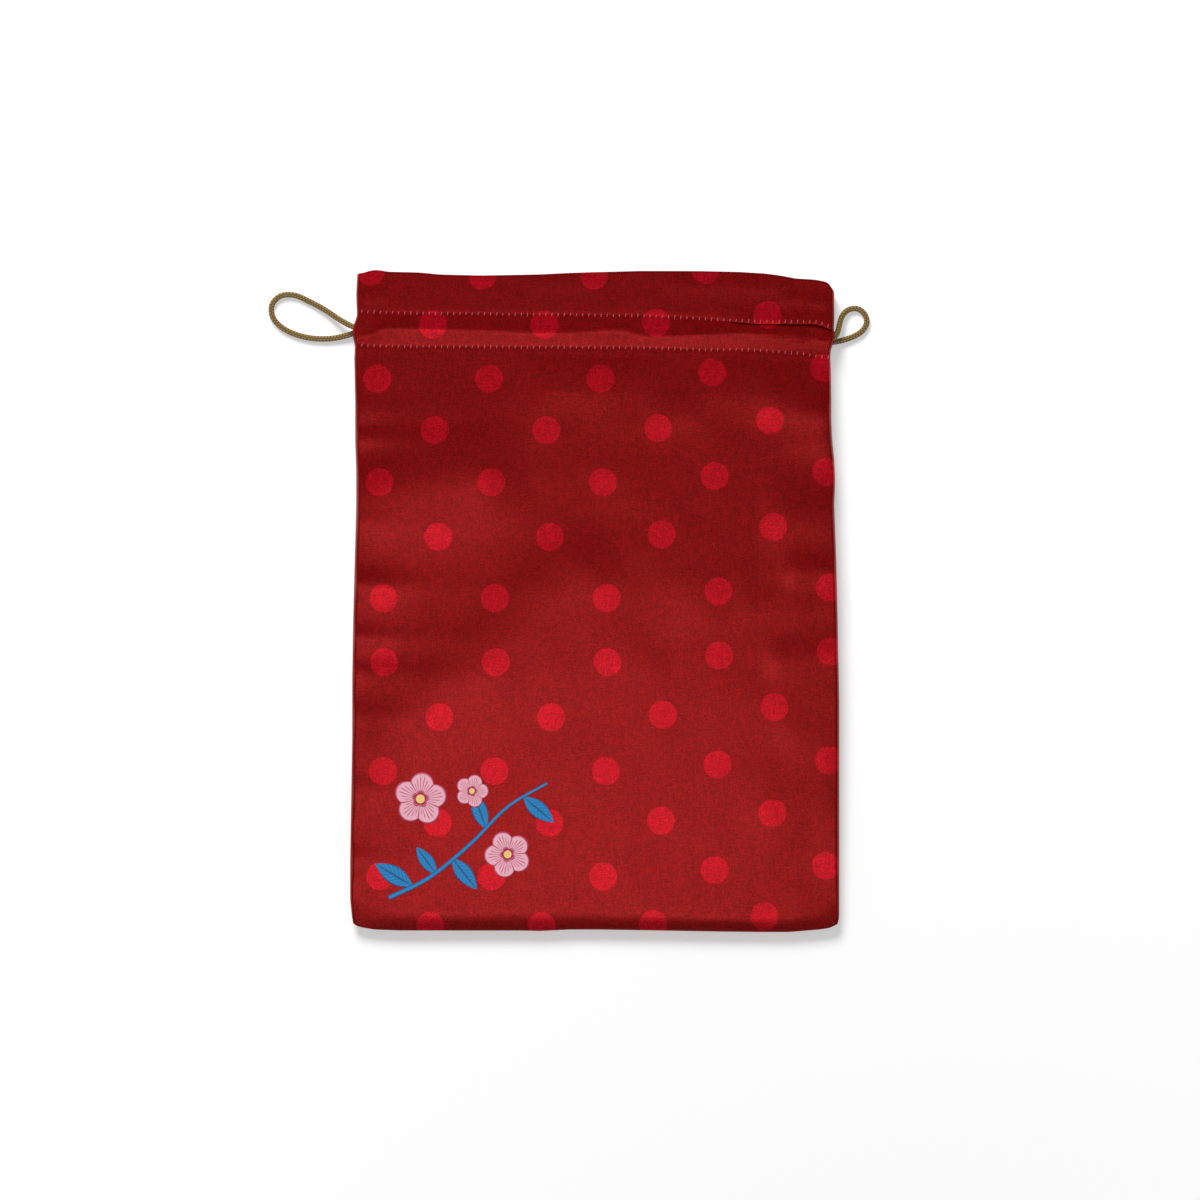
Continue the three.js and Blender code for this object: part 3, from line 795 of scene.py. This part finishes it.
def cloth_panel(name, outer, inner, material, shares, line_rows, lip=0):
    """One piece of cloth as a closed solid: up the outer side, round the fold and down the facing."""
    columns = len(shares)
    share, line = np.meshgrid(shares, [at for at, _ in line_rows])
    inside = np.array([turned for _, turned in line_rows])[:, None] & np.ones_like(share, bool)
    x, y = place_on(share, line)
    z = np.where(inside, inner(share, line), outer(share, line))
    flat_y = np.where(inside, 2 * top_y(x) - y, y)
    points = np.stack([x, y - lip * np.where(inside, 0, header_lip(x, line)), z], axis=-1)
    across = np.gradient(points, axis=1)
    upwards = np.gradient(points, axis=0)
    normal = np.cross(across, upwards)
    normal /= np.linalg.norm(normal, axis=-1)[..., None]
    top = points + normal * CLOTH / 2
    bottom = points - normal * CLOTH / 2
    rows = len(line_rows)
    vertices = np.concatenate([top.reshape(-1, 3), bottom.reshape(-1, 3)]) * MM
    layer = rows * columns
    i, j = np.meshgrid(np.arange(rows - 1), np.arange(columns - 1), indexing="ij")
    at = (i * columns + j).ravel()
    upper = np.stack([at, at + 1, at + columns + 1, at + columns], axis=1)
    lower = upper[:, ::-1] + layer
    rim = list(range(columns))
    rim += [r * columns + columns - 1 for r in range(1, rows)]
    rim += [(rows - 1) * columns + c for c in range(columns - 2, -1, -1)]
    rim += [r * columns for r in range(rows - 2, 0, -1)]
    rim = np.array(rim)
    following = np.roll(rim, -1)
    border = np.stack([rim + layer, following + layer, following, rim], axis=1)
    faces = np.concatenate([upper, lower, border])
    # near the edges the print follows the cloth's own way down the side, so that dots aren't drawn out
    step = np.diff(points, axis=1)
    extra = np.hypot(step[..., 0], step[..., 2]) - np.abs(step[..., 0])
    near_edge = (shares[:-1] < EDGE_SHARE) | (shares[:-1] > 1 - EDGE_SHARE)
    run = np.cumsum(np.pad(extra * near_edge, ((0, 0), (1, 0))), axis=1)
    flat_x = x + run - run[:, [columns // 2]]
    flat = np.stack([flat_x, flat_y], axis=-1).reshape(-1, 2)
    flat = np.concatenate([flat, flat])
    corner = flat[faces]
    centre = corner.mean(axis=1)
    dots = dot_centres()
    nearest = dots[np.argmin(((centre[:, None] - dots[None]) ** 2).sum(-1), axis=1)]
    uv = corner - nearest[:, None]
    return mesh_object(name, vertices, faces.tolist(), material, uv.reshape(-1, 2))


def steps(*stretches):
    """Values in stretches of (from, to, step), each without its end, and the last end."""
    values = [np.arange(low, high - 1e-9, step) for low, high, step in stretches]
    return np.concatenate(values + [[stretches[-1][1]]])


edge = steps((0, 0.01, 0.00125), (0.01, 0.02, 0.0025), (0.02, 0.06, 0.004))[:-1]
SHARES = np.concatenate([edge, np.linspace(0.06, 0.94, 165), 1 - edge[::-1]])
OUTER_LINES = steps((0, 0.05, 0.003), (0.05, 0.95, 0.0075), (0.95, 1.5, 0.05), (1.5, 2, 0.07),
                    (2, 2.15, 0.03), (2.15, 2.8, 0.05), (2.8, 2.95, 0.025), (2.95, 3, 0.01),
                    (3, 3.15, 0.025), (3.15, 4, 0.05))
INNER_LINES = steps((1, 2, 0.25), (2, 3, 0.1), (3, 4, 0.1))[::-1]
ROWS = [(line, False) for line in OUTER_LINES] + [(line, True) for line in INNER_LINES]

LIP_REACH = 1.3  # how far the header hangs down over the casing

satin = satin_material("red_satin")
front_cloth = cloth_panel("front_cloth", front_outer, front_inner, satin, SHARES, ROWS, lip=LIP_REACH)
back_cloth = cloth_panel("back_cloth", back_outer, back_inner, satin, SHARES, ROWS)
for cloth, cad in ((front_cloth, "front_panel"), (back_cloth, "back_panel")):
    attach(cloth, "root")
    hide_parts(cad)


# What lies on the cloth is laid on its mesh
def cloth_tree(cloth):
    mesh = cloth.data
    return BVHTree.FromPolygons([v.co for v in mesh.vertices], [p.vertices for p in mesh.polygons])


front_tree = cloth_tree(front_cloth)
back_tree = cloth_tree(back_cloth)


def height_on(tree, x, y, from_above=True):
    """Height of the cloth's outer side at a place in millimetres, or None off the cloth."""
    start = Vector((x * MM, y * MM, 0.1 if from_above else -0.1))
    hit = tree.ray_cast(start, Vector((0, 0, -1 if from_above else 1)))[0]
    return None if hit is None else hit.z / MM


PRINT_THICKNESS = 0.2


def printed_patch(name, flat, uv, lift, material, closed=False):
    """A thin closed patch on the front cloth. flat is a grid of places in millimetres.

    closed joins the grid's last column to its first.
    """
    rows, columns = flat.shape[:2]
    top = np.array([[(x, y, height_on(front_tree, x, y) + lift) for x, y in row] for row in flat])
    bottom = top - (0, 0, PRINT_THICKNESS)
    vertices = np.concatenate([top.reshape(-1, 3), bottom.reshape(-1, 3)]) * MM
    layer = rows * columns
    faces = []
    wrap = columns if closed else columns - 1
    for i in range(rows - 1):
        for j in range(wrap):
            k = (j + 1) % columns
            faces.append((i * columns + j, (i + 1) * columns + j, (i + 1) * columns + k, i * columns + k))
            faces.append(tuple(v + layer for v in faces[-1][::-1]))
    borders = []
    for j in range(wrap):
        k = (j + 1) % columns
        borders += [(j, k), ((rows - 1) * columns + k, (rows - 1) * columns + j)]
    if not closed:
        for i in range(rows - 1):
            left, right = i * columns, i * columns + columns - 1
            borders += [(left + columns, left), (right, right + columns)]
    faces += [(a, b, b + layer, a + layer) for a, b in borders]
    corner_uv = np.concatenate([uv.reshape(-1, 2)] * 2)
    if closed:
        # the last column runs on to a full turn, so that the pattern closes
        columns_of = np.arange(2 * layer) % columns
        pairs = []
        for face in faces:
            last = any(columns_of[v] == columns - 1 for v in face) and any(columns_of[v] == 0 for v in face)
            for v in face:
                u, turn = corner_uv[v]
                pairs.append((u, turn + 1 if last and columns_of[v] == 0 else turn))
        corner = np.array(pairs)
    else:
        corner = np.concatenate([corner_uv[list(face)] for face in faces])
    patch = mesh_object(name, vertices, faces, material, corner)
    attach(patch, "root")
    return patch


# Print: ink colours and how dark the drawn lines are
PRINT_PINK = linear(232, 172, 188)
PRINT_WINE = linear(168, 34, 78)
PRINT_YELLOW = linear(238, 200, 120)
PRINT_BLUE = linear(22, 128, 190)
PRINT_NAVY = linear(14, 62, 112)
PETAL_INK = 0.85
LEAF_INK = 0.8
PETAL_VEINS = 7
LEAF_VEINS = 9


def print_material(name, field, line_colour, mask):
    """Ink on satin: a field of colour with fine drawn lines. mask(tree, u, v) is 1 on a line."""
    material, tree, shader = new_material(name)
    place = node(tree, "ShaderNodeUVMap", uv_map="print")
    parts = node(tree, "ShaderNodeSeparateXYZ")
    tree.links.new(place.outputs[0], parts.inputs[0])
    uneven = noise(tree, (500, 500, 500))
    base = mix_color(tree, uneven, tuple(0.88 * c for c in field), field)
    line = mask(tree, parts.outputs[0], parts.outputs[1])
    tree.links.new(mix_color(tree, line, base, line_colour), shader.inputs["Base Color"])
    shader.inputs["Roughness"].default_value = 0.5
    shader.inputs["Specular IOR Level"].default_value = 0.25
    weave_bump(tree, shader, noise(tree, (700, 1300, 700), 3, 0.7), 0.2)
    return material


def petal_lines(tree, out, turn):
    """Veins that run out along each petal, the petal's outline and a ring near the heart."""
    petal = math_node(tree, "FRACT", times(tree, turn, 5))
    across = absolute(tree, math_node(tree, "SUBTRACT", petal, 0.5))
    veins = ramp(tree, waves(tree, petal, PETAL_VEINS), 0.6, 0.2)
    reach = math_node(tree, "SUBTRACT", 0.86, times(tree, across, 0.5))
    within = ramp(tree, math_node(tree, "SUBTRACT", reach, out), -0.06, 0.06)
    rim = ramp(tree, out, 0.91, 0.96)
    sides = ramp(tree, across, 0.455, 0.485)
    heart = ramp(tree, out, 0.36, 0.3)
    return times(tree, highest(tree, times(tree, veins, within), rim, sides, heart), PETAL_INK)


def leaf_lines(tree, along_it, across):
    """A midrib, side veins that slant towards the tip, and the leaf's outline."""
    away = absolute(tree, across)
    slant = math_node(tree, "SUBTRACT", along_it, times(tree, away, 0.22))
    veins = ramp(tree, waves(tree, slant, LEAF_VEINS), 0.34, 0.1)
    rib = ramp(tree, away, 0.16, 0.07)
    rim = ramp(tree, away, 0.84, 0.93)
    return times(tree, highest(tree, veins, rib, rim), LEAF_INK)


def twig_lines(tree, along_it, across):
    return times(tree, ramp(tree, absolute(tree, across), 0.55, 0.8), LEAF_INK)


def heart_lines(tree, out, turn):
    return ramp(tree, out, 0.75, 0.9)


petal_print = print_material("petal_print", PRINT_PINK, PRINT_WINE, petal_lines)
heart_print = print_material("heart_print", PRINT_YELLOW, PRINT_WINE, heart_lines)
leaf_print = print_material("leaf_print", PRINT_BLUE, PRINT_NAVY, leaf_lines)
twig_print = print_material("twig_print", PRINT_BLUE, PRINT_NAVY, twig_lines)

# Motif in the lower left: three plum blossoms on a leafy twig, in millimetres.
# Blossom: x, y, radius and angle. Leaf: x and y of its foot, length and direction.
BLOSSOMS = [
    (-88, -100, 13.5, 0.2), (-44, -128, 12, 0.7), (-62, -96, 8.5, 0),
]
TWIG = [
    (-104, -150), (-84, -140), (-62, -122), (-44, -104), (-24, -92),
]
TWIG_WIDTH = 2.4
LEAVES = [
    (-92, -144, 22, 2.6), (-72, -130, 20, -0.9), (-55, -115, 19, 1.9), (-36, -99, 20, -0.7),
    (-80, -138, 17, 2.2),
]
LEAF_WIDTH = 0.42
TWIG_TAPER = 0.45
HEART_SHARE = 0.2  # of the blossom's radius


def petal_reach(turn):
    """The blossom's outline: five round petals. turn is 0 in the middle of the first one."""
    angle = (np.mod(turn * 5 + 0.5, 1) - 0.5) / 5 * 2 * np.pi
    return 0.56 * np.cos(angle) + np.sqrt(0.44 ** 2 - (0.56 * np.sin(angle)) ** 2)


for number, (x, y, radius, start_angle) in enumerate(BLOSSOMS, 1):
    turn, out = np.meshgrid(np.arange(120) / 120, np.linspace(0.22, 1, 16))
    reach = radius * petal_reach(turn) * out
    angle = start_angle + 2 * np.pi * turn
    flat = np.stack([x + reach * np.cos(angle), y + reach * np.sin(angle)], axis=-1)
    uv = np.stack([out, turn + 0.1], axis=-1)
    petals = printed_patch(f"blossom_{number}", flat[::-1], uv[::-1], 0.1, petal_print, closed=True)
    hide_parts(f"print_blossom_{number}")
    turn, out = np.meshgrid(np.arange(40) / 40, np.linspace(0.02, 1, 6))
    reach = radius * HEART_SHARE * out
    angle = 2 * np.pi * turn
    flat = np.stack([x + reach * np.cos(angle), y + reach * np.sin(angle)], axis=-1)
    uv = np.stack([out, turn], axis=-1)
    heart = printed_patch(f"blossom_heart_{number}", flat[::-1], uv[::-1], 0.12, heart_print, closed=True)
    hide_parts(f"print_blossom_heart_{number}")

for number, (x, y, length, direction) in enumerate(LEAVES, 1):
    t, across = np.meshgrid(np.linspace(0.01, 0.99, 40), np.linspace(-1, 1, 13))
    along_it = (0.9 * (1 - t) * t + t * t) * length
    side = across * 2 * (1 - t) * t * length * LEAF_WIDTH
    flat = np.stack([x + along_it * math.cos(direction) - side * math.sin(direction),
                     y + along_it * math.sin(direction) + side * math.cos(direction)], axis=-1)
    uv = np.stack([along_it / length, across], axis=-1)
    leaf = printed_patch(f"leaf_{number}", flat[::-1], uv[::-1], 0.06, leaf_print)
    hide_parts("print_twig")

spine = smooth_path([(x, y, 0) for x, y in TWIG], 0.6)[:, :2]
spine_side = np.gradient(spine, axis=0)[:, ::-1] * (-1, 1)
spine_side /= np.linalg.norm(spine_side, axis=1)[:, None]
across = np.linspace(-1, 1, 5)
taper = 1 - TWIG_TAPER * np.linspace(0, 1, len(spine))
flat = spine[None] + across[:, None, None] * (spine_side * taper[:, None] * TWIG_WIDTH / 2)[None]
twig_uv = np.stack(np.meshgrid(np.linspace(0, 1, len(spine)), across), axis=-1)
twig = printed_patch("twig", flat[::-1], twig_uv[::-1], 0.07, twig_print)
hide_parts("print_twig")


# Stitches, in millimetres
STITCH_HALF = 0.86
STITCH_RADIUS = 0.24
STITCH_END_RADIUS = 0.16
STITCH_SLANT = 0.16
STITCH_VARIATION = 0.12
STITCH_ARCH = 0.34
STITCH_DEPTH = 0.25  # how deep its ends lie in the cloth
STITCHED_COLUMNS = (359, 831)
PLACE_BEATS = (12.9898, 4.1)  # make the stitches uneven, the same in each run
LENGTH_BEAT = 7.3


def stitch_row(name, line_y, tree, from_above, cad, material):
    """Short stitches side by side across a seam line. Each comes out of the cloth and goes back into it."""
    away = 1 if from_above else -1
    vertices, faces = [], []
    sides, rings = 6, 7
    left, right = columns_at(STITCHED_COLUMNS)
    count = int((right - left) / STITCH_PITCH)
    for number in range(count):
        x = left + (number + 0.5) * (right - left) / count
        wander = sum(math.sin(number * beat) * 0.5 for beat in PLACE_BEATS)
        y = float(line_y(x)) + STITCH_VARIATION * wander
        half = STITCH_HALF + STITCH_VARIATION * math.sin(number * LENGTH_BEAT)
        slant = STITCH_SLANT + STITCH_VARIATION * wander
        path = []
        for t in np.linspace(-1, 1, rings):
            px, py = x + slant * t, y + half * t
            z = height_on(tree, px, py, from_above)
            if z is None:
                break
            path.append((px, py, z + away * (STITCH_ARCH * (1 - t ** 4) - STITCH_DEPTH)))
        if len(path) < rings:
            continue
        first = len(vertices)
        radius = np.full((rings, sides), STITCH_RADIUS)
        radius[[0, -1]] = STITCH_END_RADIUS
        vertices += (tube_rings(np.array(path), radius, sides).reshape(-1, 3) * MM).tolist()
        for i in range(rings - 1):
            for j in range(sides):
                k = (j + 1) % sides
                a = first + i * sides
                faces.append((a + j, a + k, a + sides + k, a + sides + j))
        faces.append(tuple(range(first, first + sides))[::-1])
        faces.append(tuple(range(first + (rings - 1) * sides, first + rings * sides)))
    row = mesh_object(name, vertices, faces, material)
    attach(row, "root")
    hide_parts(cad)


thread = thread_material()
stitch_row("stitches_front_upper", upper_y, front_tree, True, "front_upper_stitches", thread)
stitch_row("stitches_front_lower", lower_y, front_tree, True, "front_lower_stitches", thread)
stitch_row("stitches_back_upper", upper_y, back_tree, False, "back_upper_stitches", thread)
stitch_row("stitches_back_lower", lower_y, back_tree, False, "back_lower_stitches", thread)
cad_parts["seam_thread"].data.materials.clear()
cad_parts["seam_thread"].data.materials.append(thread)

# Floor and light
FLOOR_GLOW = 0.425  # near the pouch, rising to 1 far away
GLOW_RISES = (0.05, 2.0)  # metres from the middle
FLOOR_REACH = 12
FLOOR_DROP = 0.0002
floor_material, floor_tree, floor_shader = new_material("white_floor")
floor_shader.inputs["Base Color"].default_value = (0.85, 0.85, 0.85, 1)
floor_shader.inputs["Roughness"].default_value = 0.9
floor_shader.inputs["Specular IOR Level"].default_value = 0.0
light_path = node(floor_tree, "ShaderNodeLightPath")
seen = add(floor_tree, light_path.outputs["Is Camera Ray"], light_path.outputs["Is Glossy Ray"])
seen = math_node(floor_tree, "ADD", seen, light_path.outputs["Is Transmission Ray"], clamp=True)
floor_shader.inputs["Emission Color"].default_value = (1, 1, 1, 1)
away = node(floor_tree, "ShaderNodeVectorMath", operation="LENGTH")
floor_tree.links.new(object_coordinates(floor_tree, (1, 1, 1)), away.inputs[0])
far = ramp(floor_tree, away.outputs["Value"], *GLOW_RISES)
glow = add(floor_tree, times(floor_tree, far, 1 - FLOOR_GLOW), FLOOR_GLOW)
floor_tree.links.new(times(floor_tree, seen, glow), floor_shader.inputs["Emission Strength"])
corners = [(FLOOR_REACH * x, FLOOR_REACH * y, 0) for x, y in ((-1, -1), (1, -1), (1, 1), (-1, 1))]
floor = mesh_object("floor", corners, [(0, 1, 2, 3)], floor_material)
floor.location.z = -FLOOR_DROP


def area_lamp(name, location, size, power, glossy=True, dark_floor=False):
    """A round lamp that points at the origin. dark_floor keeps its light off the floor."""
    lamp = bpy.data.objects.new(name, bpy.data.lights.new(name, "AREA"))
    lamp.data.shape = "DISK"
    lamp.data.size = size
    lamp.data.energy = power
    lamp.location = location
    lamp.rotation_euler = (-Vector(location)).to_track_quat("-Z", "Y").to_euler()
    lamp.visible_camera = False
    lamp.visible_glossy = glossy
    if dark_floor:
        lit = bpy.data.collections.new("all but the floor")
        lit.objects.link(floor)
        lit.collection_objects[0].light_linking.link_state = "EXCLUDE"
        lamp.light_linking.receiver_collection = lit
    bpy.context.collection.objects.link(lamp)


area_lamp("front_softbox", location=(-0.08, -0.35, 1.15), size=0.35, power=4.6, dark_floor=True)
area_lamp("shadow_lamp", location=(-0.5, 1.6, 1.38), size=1.0, power=42.5, glossy=False)
WORLD_LIGHT = 0.2
world = bpy.data.worlds.new("studio")
bpy.context.scene.world = world
world.use_nodes = True
background = world.node_tree.nodes["Background"]
background.inputs[0].default_value = (1, 1, 1, 1)
background.inputs[1].default_value = WORLD_LIGHT

bpy.context.scene.view_settings.view_transform = "Standard"
